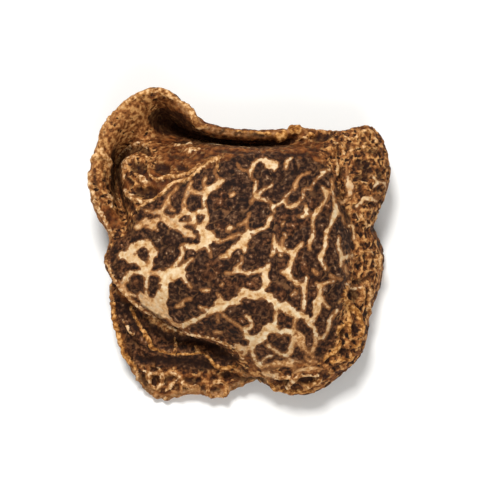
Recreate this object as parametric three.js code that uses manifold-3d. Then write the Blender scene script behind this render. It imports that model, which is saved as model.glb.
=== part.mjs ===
// A dried slice of bianchetto truffle: a thin sheet of flesh that curled as it dried.
// Its cut face is arched. A deep fold runs along its upper edge and round the upper left,
// and the margin beyond the fold stands up as a lip and a broad ear. A crease sets off the
// thick lobes of the right margin. At the lower left the sheet is doubled under itself.
// It is all one piece, and it lies on the keel of the fold, on a lobe and on the doubled layer.
//
// The sheet is drawn square-on to its cut face, x to the right, y up and z towards the viewer,
// then laid back on the surface. Millimetres throughout.
import * as THREE from "three";
import { mergeVertices } from "three/addons/utils/BufferGeometryUtils.js";
import Module from "manifold-3d";

// Driving dimensions.
const LAID_BACK = THREE.MathUtils.degToRad(10); // from square-on to the pose it rests in
const FLAT_SPOT = 0.15; // how much is worn flat where it touches the surface
const FLESH = 1.3; // thickness of the cut face
const FLAP_FLESH = 1.1; // thickness of the doubled-under layer
const CUTTER = { side: 60, height: 10 }; // the block that cuts the flat spots

// The arch of the cut face: its height in the middle and how it falls away from there.
const ARCH = { middle: 10.9, fallX: 0.011, fallY: 0.012, tilt: -0.21 };

// Fineness of the facets.
const STEPS_PER_STATION = 3;
const STEPS_PER_RING = 2;
const EDGE_STEPS = 4;

// Thickness of the sheet at each ring that a section passes through.
const SHEET_RINGS = {
  ridge: FLESH,
  shoulder: 1.2,
  foot: 0.9,
  heel: 0.9,
  shelf: 1.05,
  rim: 1.15,
};

// Stations round the sheet, anticlockwise from the notch in the right margin, each with a
// point [x, y, z] on every ring from the ridge of the cut face out to the rim.
const SHEET = [
  [[8.2, 1.6, 9.6], [9.5, 1.9, 8.0], [10.5, 2.1, 6.2],
   [11.1, 2.2, 5.6], [12.2, 2.3, 5.2], [13.2, 2.5, 2.7]],
  [[8.2, 4.2, 9.1], [9.4, 4.7, 7.3], [10.4, 5.1, 5.7],
   [11.3, 5.3, 5.7], [13.4, 5.9, 5.3], [15.0, 6.2, 2.3]],
  [[7.6, 6.4, 8.6], [8.9, 7.2, 7.0], [9.9, 7.8, 5.4],
   [10.9, 8.1, 5.5], [13.4, 9.0, 5.0], [15.1, 9.7, 2.0]],
  [[6.8, 7.9, 8.2], [8.2, 9.1, 6.7], [9.3, 10.1, 5.2],
   [10.1, 10.6, 5.0], [11.9, 11.8, 4.4], [13.6, 12.9, 2.0]],
  [[5.6, 9.0, 8.0], [6.6, 9.8, 7.0], [7.4, 10.4, 5.9],
   [8.0, 10.9, 5.2], [8.8, 11.5, 4.8], [10.0, 12.5, 4.1]],
  [[4.2, 9.4, 8.0], [4.7, 10.1, 6.9], [5.1, 10.6, 5.3],
   [5.4, 11.2, 4.7], [5.7, 11.8, 4.7], [6.1, 12.9, 5.1]],
  [[2.0, 9.5, 8.2], [2.2, 10.1, 6.4], [2.4, 10.5, 3.6],
   [2.5, 11.6, 3.0], [2.6, 12.0, 4.0], [2.5, 12.2, 5.4]],
  [[-1.2, 9.4, 8.2], [-1.5, 10.2, 6.2], [-1.7, 10.7, 1.6],
   [-1.9, 11.9, 1.2], [-2.0, 12.2, 3.0], [-1.8, 12.3, 5.0]],
  [[-3.4, 9.0, 8.1], [-4.2, 10.4, 5.8], [-4.7, 11.2, 0.6],
   [-5.2, 12.4, 0.4], [-5.2, 12.9, 2.6], [-4.9, 13.1, 4.9]],
  [[-5.0, 8.2, 7.9], [-6.3, 10.3, 5.4], [-7.0, 12.0, -1.7],
   [-7.5, 13.6, -1.6], [-7.6, 14.5, 1.9], [-6.9, 15.0, 4.6]],
  [[-6.2, 7.4, 7.8], [-8.0, 10.0, 5.0], [-9.2, 12.2, -0.4],
   [-9.6, 14.4, -0.3], [-9.6, 16.0, 2.0], [-9.0, 16.9, 4.2]],
  [[-7.3, 6.7, 7.8], [-9.6, 9.6, 4.6], [-11.0, 11.6, 1.6],
   [-11.6, 13.2, 2.0], [-12.2, 15.0, 3.4], [-12.2, 16.6, 4.1]],
  [[-8.4, 6.0, 7.7], [-11.4, 9.3, 4.3], [-12.8, 10.8, 0.2],
   [-13.6, 11.8, 1.2], [-14.2, 12.9, 3.8], [-14.9, 14.0, 4.5]],
  [[-9.3, 5.2, 7.5], [-12.5, 8.5, 4.6], [-13.8, 9.5, -1.3],
   [-14.9, 10.1, -0.3], [-15.4, 10.5, 3.8], [-16.3, 10.9, 4.7]],
  [[-10.1, 4.5, 7.4], [-12.9, 6.9, 4.9], [-13.9, 7.2, -0.9],
   [-15.0, 7.4, -0.2], [-15.6, 7.3, 4.0], [-17.2, 7.0, 4.9]],
  [[-11.0, 3.7, 7.2], [-12.6, 4.6, 5.2], [-13.4, 4.8, 1.2],
   [-14.5, 4.6, 1.6], [-15.2, 4.2, 4.4], [-16.4, 3.4, 5.1]],
  [[-11.4, 2.3, 7.2], [-12.1, 2.1, 6.2], [-12.7, 1.9, 5.2],
   [-13.3, 1.7, 4.9], [-13.8, 1.5, 5.0], [-14.9, 0.9, 5.2]],
  [[-10.5, -0.6, 8.5], [-12.0, -1.0, 7.7], [-13.2, -1.2, 6.9],
   [-14.0, -1.3, 6.4], [-14.8, -1.4, 5.9], [-15.6, -1.5, 5.5]],
  [[-8.6, -3.0, 9.6], [-10.2, -3.6, 9.0], [-11.4, -4.0, 8.3],
   [-12.1, -4.3, 7.7], [-12.8, -4.6, 7.0], [-13.5, -4.9, 6.2]],
  [[-6.2, -4.4, 10.3], [-7.4, -5.3, 9.7], [-8.3, -6.0, 8.9],
   [-8.9, -6.5, 8.3], [-9.4, -6.9, 7.6], [-9.9, -7.3, 6.7]],
  [[-4.0, -5.4, 10.7], [-4.7, -6.6, 10.2], [-5.3, -7.6, 9.3],
   [-5.6, -8.2, 8.6], [-5.9, -8.7, 7.7], [-6.2, -9.2, 6.7]],
  [[-1.8, -6.2, 10.7], [-2.0, -7.6, 10.0], [-2.2, -8.7, 9.0],
   [-2.3, -9.4, 8.2], [-2.4, -10.1, 7.1], [-2.4, -10.7, 6.0]],
  [[0.0, -7.2, 10.5], [0.0, -9.0, 9.5], [-0.1, -10.3, 8.4],
   [-0.2, -11.3, 7.3], [-0.2, -12.3, 6.0], [-0.2, -13.2, 4.6]],
  [[2.0, -7.8, 10.6], [2.3, -9.9, 9.5], [2.5, -11.6, 8.2],
   [2.6, -12.8, 7.2], [2.7, -13.9, 5.9], [2.8, -15.0, 4.2]],
  [[4.2, -7.8, 10.6], [5.0, -10.0, 9.3], [5.6, -11.9, 7.9],
   [5.9, -13.3, 7.2], [6.1, -14.6, 6.1], [6.3, -15.8, 3.8]],
  [[6.0, -7.2, 10.5], [7.2, -9.0, 9.3], [8.1, -10.6, 7.7],
   [8.7, -11.8, 7.0], [9.2, -12.9, 6.3], [9.7, -13.8, 4.1]],
  [[7.4, -6.0, 10.3], [8.9, -7.4, 9.0], [9.9, -8.4, 7.2],
   [10.7, -9.3, 6.8], [11.6, -10.4, 6.2], [12.2, -11.1, 3.8]],
  [[8.2, -4.2, 10.1], [9.6, -5.0, 8.7], [10.6, -5.6, 6.4],
   [11.3, -6.0, 5.9], [12.2, -6.6, 5.0], [12.9, -7.2, 2.8]],
  [[8.6, -2.0, 9.8], [10.0, -2.3, 8.3], [11.1, -2.7, 5.9],
   [12.0, -2.9, 5.4], [13.2, -3.1, 4.3], [14.3, -3.4, 0.5]],
  [[8.6, 0.0, 9.8], [10.0, 0.1, 8.2], [11.0, 0.1, 6.0],
   [11.9, 0.1, 5.5], [13.2, 0.1, 4.4], [14.3, 0.0, 1.1]],
];

// The doubled-under layer: where its sections start, and its stations, anticlockwise from the
// bottom fold that joins it to the sheet. It is pleated once, so each station has an inner
// point, the ridge of the pleat, the trough outside it and the rim.
const FLAP_MIDDLE = [-6.2, -9.3, 4.2];
const FLAP = [
  [[-3.2, -10.2, 4.4], [-0.8, -11.4, 5.0], [1.4, -12.3, 5.4], [3.6, -13.2, 6.1]],
  [[-3.4, -9.2, 4.3], [-1.2, -9.4, 4.9], [0.8, -9.9, 5.8], [2.9, -10.4, 7.2]],
  [[-4.4, -8.2, 4.3], [-3.0, -7.2, 4.6], [-1.6, -6.2, 4.9], [-0.4, -5.4, 5.2]],
  [[-6.0, -7.8, 4.3], [-5.8, -6.4, 4.5], [-5.6, -5.0, 4.8], [-5.4, -3.8, 5.0]],
  [[-8.0, -7.6, 4.4], [-9.4, -5.8, 4.8], [-10.6, -4.2, 4.8], [-11.6, -2.8, 5.2]],
  [[-8.8, -8.2, 4.4], [-11.6, -5.8, 5.1], [-13.2, -4.6, 4.6], [-14.8, -3.4, 5.2]],
  [[-9.2, -9.0, 4.2], [-12.3, -8.0, 5.0], [-13.4, -7.6, 3.8], [-14.7, -7.2, 4.6]],
  [[-9.0, -10.0, 4.2], [-11.0, -10.2, 5.0], [-12.2, -10.5, 3.7], [-13.8, -10.7, 4.4]],
  [[-8.4, -10.6, 4.2], [-10.0, -11.4, 5.0], [-11.0, -12.3, 3.7], [-12.2, -14.2, 3.8]],
  [[-7.2, -10.7, 4.3], [-8.0, -11.5, 5.1], [-8.6, -13.0, 3.8], [-9.6, -16.6, 3.2]],
  [[-6.0, -10.6, 4.4], [-6.0, -11.5, 5.2], [-6.0, -12.8, 3.9], [-6.2, -16.0, 3.7]],
  [[-5.0, -10.5, 4.5], [-4.2, -11.8, 5.2], [-3.8, -13.2, 4.0], [-3.2, -16.2, 3.8]],
  [[-4.0, -10.6, 4.4], [-2.4, -12.4, 5.1], [-1.4, -13.4, 4.2], [-0.4, -14.9, 4.2]],
];

const wasm = await Module();
wasm.setup();

const mix = THREE.MathUtils.lerp;
const vector = ([x, y, z]) => new THREE.Vector3(x, y, z);

// Height of the arched cut face.
function archHeight(x, y) {
  return ARCH.middle + ARCH.tilt * y - ARCH.fallX * x * x - ARCH.fallY * y * y;
}

// A point of the cut face at a share of the way from its middle to its ridge. The arch carries
// it, and what the ridge departs from the arch comes in with the cube of the share.
function facePoint(ridge, share) {
  const departure = ridge.z - archHeight(ridge.x, ridge.y);
  const x = ridge.x * share;
  const y = ridge.y * share;
  return new THREE.Vector3(x, y, archHeight(x, y) + departure * Math.max(share, 0) ** 3);
}

// Each ring of a net of stations, as a smooth closed curve.
function ringsOf(stations) {
  return stations[0].map((_, ring) => {
    const points = stations.map((station) => vector(station[ring]));
    return new THREE.CatmullRomCurve3(points, true, "centripetal");
  });
}

// A section's points: a smooth curve from the first knot to the last, in equal steps from knot
// to knot. The point before the first knot only steers the curve.
function sectionPoints(before, knots) {
  const curve = new THREE.CatmullRomCurve3([before, ...knots], false, "centripetal");
  const steps = (knots.length - 1) * STEPS_PER_RING;
  return Array.from({ length: steps + 1 }, (_, i) =>
    curve.getPoint((1 + i / STEPS_PER_RING) / knots.length),
  );
}

function sheetSection(knots) {
  const [before, ...face] = [-1 / 3, 0, 1 / 3, 2 / 3].map((share) => facePoint(knots[0], share));
  return sectionPoints(before, [...face, ...knots]);
}

function flapSection(knots) {
  const middle = vector(FLAP_MIDDLE);
  const before = middle.clone().multiplyScalar(2).sub(knots[0]);
  return sectionPoints(before, [middle, ...knots]);
}

// A station's knots with the last one moved in by half the thickness of the rim, so that the
// rounded edge ends where the station's point was.
function leaveRoomForRim(knots, thickness) {
  const [shelf, rim] = knots.slice(-2);
  const inwards = shelf.clone().sub(rim).setLength(thickness / 2);
  return [...knots.slice(0, -1), rim.clone().add(inwards)];
}

// Sections all the way round a net of stations.
function sectionsOf(stations, rimThickness, sectionThrough) {
  const rings = ringsOf(stations);
  const count = stations.length * STEPS_PER_STATION;
  return Array.from({ length: count }, (_, j) => {
    const knots = rings.map((ring) => ring.getPoint(j / count));
    return sectionThrough(leaveRoomForRim(knots, rimThickness));
  });
}

// Thickness at each point of a section, from its value at each knot.
function thicknessAlong(values) {
  const steps = (values.length - 1) * STEPS_PER_RING;
  return Array.from({ length: steps + 1 }, (_, i) => {
    const knot = Math.min(Math.floor(i / STEPS_PER_RING), values.length - 2);
    return mix(values[knot], values[knot + 1], i / STEPS_PER_RING - knot);
  });
}

// Unit normals of a surface given by its sections. At the middle, where the sections meet, the
// normal is the mean of those round it.
function normalsOf(sections) {
  const count = sections.length;
  const last = sections[0].length - 1;
  const normals = sections.map((section, j) =>
    section.map((_, i) => {
      const along = section[Math.min(i + 1, last)].clone().sub(section[Math.max(i - 1, 0)]);
      const around = sections[(j + 1) % count][i].clone();
      around.sub(sections[(j + count - 1) % count][i]);
      return along.cross(around).normalize();
    }),
  );
  const middle = new THREE.Vector3();
  normals.forEach((row) => middle.add(row[1]));
  normals.forEach((row) => row[0].copy(middle).normalize());
  return normals;
}

// A closed surface from one pole, through rings of equal length, to the other pole.
function skin(firstPole, rings, lastPole) {
  const count = rings[0].length;
  const vertices = [...rings.flat(), firstPole, lastPole];
  const first = vertices.length - 2;
  const last = vertices.length - 1;
  const end = (rings.length - 1) * count;
  const faces = [];
  for (let j = 0; j < count; j++) {
    const next = (j + 1) % count;
    faces.push(first, j, next);
    for (let start = 0; start < end; start += count) {
      faces.push(start + j, start + count + j, start + next);
      faces.push(start + next, start + count + j, start + count + next);
    }
    faces.push(end + next, end + j, last);
  }
  const geometry = new THREE.BufferGeometry().setFromPoints(vertices);
  geometry.setIndex(faces);
  return geometry;
}

// A sheet from its sections: both faces stand half the thickness off the middle surface, and
// the rim is rounded from one to the other.
function thicken(sections, thickness) {
  const normals = normalsOf(sections);
  const last = thickness.length - 1;
  const away = (i, side) =>
    sections.map((section, j) =>
      section[i].clone().addScaledVector(normals[j][i], (side * thickness[i]) / 2),
    );
  const roundRim = (turn) =>
    sections.map((section, j) => {
      const outward = section[last].clone().sub(section[last - 1]);
      outward.projectOnPlane(normals[j][last]).normalize();
      return section[last]
        .clone()
        .addScaledVector(normals[j][last], (Math.cos(turn) * thickness[last]) / 2)
        .addScaledVector(outward, (Math.sin(turn) * thickness[last]) / 2);
    });
  const rings = [];
  for (let i = 1; i <= last; i++) rings.push(away(i, 1));
  for (let k = 1; k < EDGE_STEPS; k++) rings.push(roundRim((Math.PI * k) / EDGE_STEPS));
  for (let i = last; i > 0; i--) rings.push(away(i, -1));
  return skin(away(0, 1)[0], rings, away(0, -1)[0]);
}

// A geometry as a manifold-3d solid, and a solid as a geometry.
function solidOf(geometry) {
  geometry.deleteAttribute("normal");
  geometry.deleteAttribute("uv");
  const merged = mergeVertices(geometry);
  const vertProperties = merged.getAttribute("position").array;
  const triVerts = new Uint32Array(merged.index.array);
  return new wasm.Manifold(new wasm.Mesh({ numProp: 3, vertProperties, triVerts }));
}

function geometryOf(solid) {
  const mesh = solid.getMesh();
  const geometry = new THREE.BufferGeometry();
  geometry.setAttribute("position", new THREE.BufferAttribute(mesh.vertProperties, 3));
  geometry.setIndex(new THREE.BufferAttribute(mesh.triVerts, 1));
  return geometry;
}

function mainSheet() {
  const thicknesses = [FLESH, FLESH, FLESH, ...Object.values(SHEET_RINGS)];
  const sections = sectionsOf(SHEET, SHEET_RINGS.rim, sheetSection);
  return thicken(sections, thicknessAlong(thicknesses));
}

function doubledLayer() {
  const knots = FLAP[0].length + 1;
  const thicknesses = new Array(knots).fill(FLAP_FLESH);
  return thicken(sectionsOf(FLAP, FLAP_FLESH, flapSection), thicknessAlong(thicknesses));
}

function lowest(geometry) {
  geometry.computeBoundingBox();
  return geometry.boundingBox.min.z;
}

// Both layers joined, laid back, worn flat where they touch the surface and put down with the
// bottom centre of the box round them at the origin.
function truffleSlice() {
  const sheet = mainSheet().rotateX(LAID_BACK);
  const layer = doubledLayer().rotateX(LAID_BACK);
  const surface = Math.min(lowest(sheet), lowest(layer)) + FLAT_SPOT;
  const cutter = new THREE.BoxGeometry(CUTTER.side, CUTTER.side, CUTTER.height);
  cutter.translate(0, 0, surface - CUTTER.height / 2);
  const slice = geometryOf(solidOf(sheet).add(solidOf(layer)).subtract(solidOf(cutter)));
  slice.computeBoundingBox();
  const { min, max } = slice.boundingBox;
  return slice.translate(-(min.x + max.x) / 2, -(min.y + max.y) / 2, -min.z);
}

const driedFlesh = new THREE.MeshStandardMaterial({ color: "#6b4527", roughness: 0.8, metalness: 0 });
const slice = new THREE.Mesh(truffleSlice(), driedFlesh);
slice.name = "truffle_slice";

const truffle = new THREE.Group();
truffle.add(slice);
export default truffle;
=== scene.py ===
# A dried slice of bianchetto truffle, lying on a pale surface and seen square-on to its cut face.
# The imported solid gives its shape. Here it gets its smooth surface, its marbling of pale veins
# through dark flesh, the fine net of its margins and the knobbly skin of its rim.
import math

import bpy
import numpy as np
from mathutils import Matrix, Vector, kdtree, noise


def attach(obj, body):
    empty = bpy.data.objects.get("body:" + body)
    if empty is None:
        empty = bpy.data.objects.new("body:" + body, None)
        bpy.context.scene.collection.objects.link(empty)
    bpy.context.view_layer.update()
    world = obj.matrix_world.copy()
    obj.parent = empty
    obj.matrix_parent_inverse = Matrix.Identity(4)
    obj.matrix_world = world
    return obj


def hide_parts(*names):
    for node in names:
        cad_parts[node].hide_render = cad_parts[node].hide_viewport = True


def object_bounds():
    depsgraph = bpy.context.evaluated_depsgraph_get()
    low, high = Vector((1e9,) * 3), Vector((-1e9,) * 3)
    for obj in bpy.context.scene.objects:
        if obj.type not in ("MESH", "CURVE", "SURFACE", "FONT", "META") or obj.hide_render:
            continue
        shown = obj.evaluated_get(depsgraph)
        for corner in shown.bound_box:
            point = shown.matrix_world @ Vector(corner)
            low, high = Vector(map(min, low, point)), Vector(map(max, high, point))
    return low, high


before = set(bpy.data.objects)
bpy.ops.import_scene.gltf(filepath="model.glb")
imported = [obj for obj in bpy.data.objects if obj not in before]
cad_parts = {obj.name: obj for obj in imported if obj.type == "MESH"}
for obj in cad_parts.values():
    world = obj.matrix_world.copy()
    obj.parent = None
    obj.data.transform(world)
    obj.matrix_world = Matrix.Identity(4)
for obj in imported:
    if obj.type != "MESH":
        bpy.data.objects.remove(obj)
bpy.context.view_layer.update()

# The same slice each time.
noise.seed_set(4)

MM = 0.001

# The pose: the slice is laid back by this much from square-on, and the middle of its cut face
# lies this far, in millimetres, from the middle of the surface under it.
LAID_BACK = math.radians(10)
MIDDLE = np.array([0.867, 0.264, -0.045])

# The surface: how far apart its points are, in millimetres, and how often it is evened out.
POINT_SPACING = 0.2
EVENING_ROUNDS = 5

# The size of the lobes of dark flesh and of the cells that they cluster in, in millimetres.
LOBE = 0.95
CELL = 2.1

# The camera: square-on, as far off as a hand-held one, on a 36 mm wide sensor.
CAMERA_ELEVATION = math.radians(80)
CAMERA_DISTANCE = 0.577
CAMERA_LENS = 400

# How strongly the room itself lights the slice, where 1 is a white wall on every side.
ROOM_LIGHT = 0.28

# The rim of the sheet and of the layer doubled under it, in millimetres, seen square-on: x to
# the right, y up, z towards the viewer.
SHEET_RIM = [
    (13.2, 2.5, 2.7), (15.0, 6.2, 2.3), (15.1, 9.7, 2.0), (13.6, 12.9, 2.0), (10.0, 12.5, 4.1),
    (6.1, 12.9, 5.1), (2.5, 12.2, 5.4), (-1.8, 12.3, 5.0), (-4.9, 13.1, 4.9), (-6.9, 15.0, 4.6),
    (-9.0, 16.9, 4.2), (-12.2, 16.6, 4.1), (-14.9, 14.0, 4.5), (-16.3, 10.9, 4.7), (-17.2, 7.0, 4.9),
    (-16.4, 3.4, 5.1), (-14.9, 0.9, 5.2), (-15.6, -1.5, 5.5), (-13.5, -4.9, 6.2), (-9.9, -7.3, 6.7),
    (-6.2, -9.2, 6.7), (-2.4, -10.7, 6.0), (-0.2, -13.2, 4.6), (2.8, -15.0, 4.2), (6.3, -15.8, 3.8),
    (9.7, -13.8, 4.1), (12.2, -11.1, 3.8), (12.9, -7.2, 2.8), (14.3, -3.4, 0.5), (14.3, 0.0, 1.1),
]
LAYER_RIM = [
    (-11.6, -2.8, 5.2), (-14.8, -3.4, 5.2), (-14.7, -7.2, 4.6), (-13.8, -10.7, 4.4), (-12.2, -14.2, 3.8),
    (-9.6, -16.6, 3.2), (-6.2, -16.0, 3.7), (-3.2, -16.2, 3.8), (-0.4, -14.9, 4.2), (3.6, -13.2, 6.1),
]

# The outlines of the dark flesh that shows on the cut face and on the layer doubled under it,
# seen square-on. Outside them is the margin.
FACE_EDGE = [
    (-14.6, -2.9), (-14.8, -0.4), (-12.8, 1.8), (-11.8, 3.8), (-9.2, 5.7), (-5.8, 7.9), (-2.6, 9.2),
    (-0.1, 9.9), (2.2, 10.2), (5.6, 9.8), (7.7, 9.0), (8.9, 7.8), (9.6, 5.6), (10.7, 3.6),
    (11.2, 1.2), (10.7, -1.3), (10.5, -3.8), (9.9, -5.9), (9.6, -8.9), (8.9, -10.9), (6.8, -12.4),
    (2.2, -12.9), (0.3, -11.9), (-1.0, -10.9), (-4.7, -9.3), (-7.5, -8.6), (-9.8, -7.1), (-12.5, -5.3),
]
LAYER_FACE = [
    (-14.1, -5.4), (-14.1, -8.2), (-13.5, -10.4), (-12.6, -12.6), (-8.6, -13.0), (-4.6, -13.4),
    (-1.2, -12.6), (-2.6, -11.0), (-5.4, -9.9), (-8.8, -9.0), (-11.2, -7.4),
]

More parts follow.
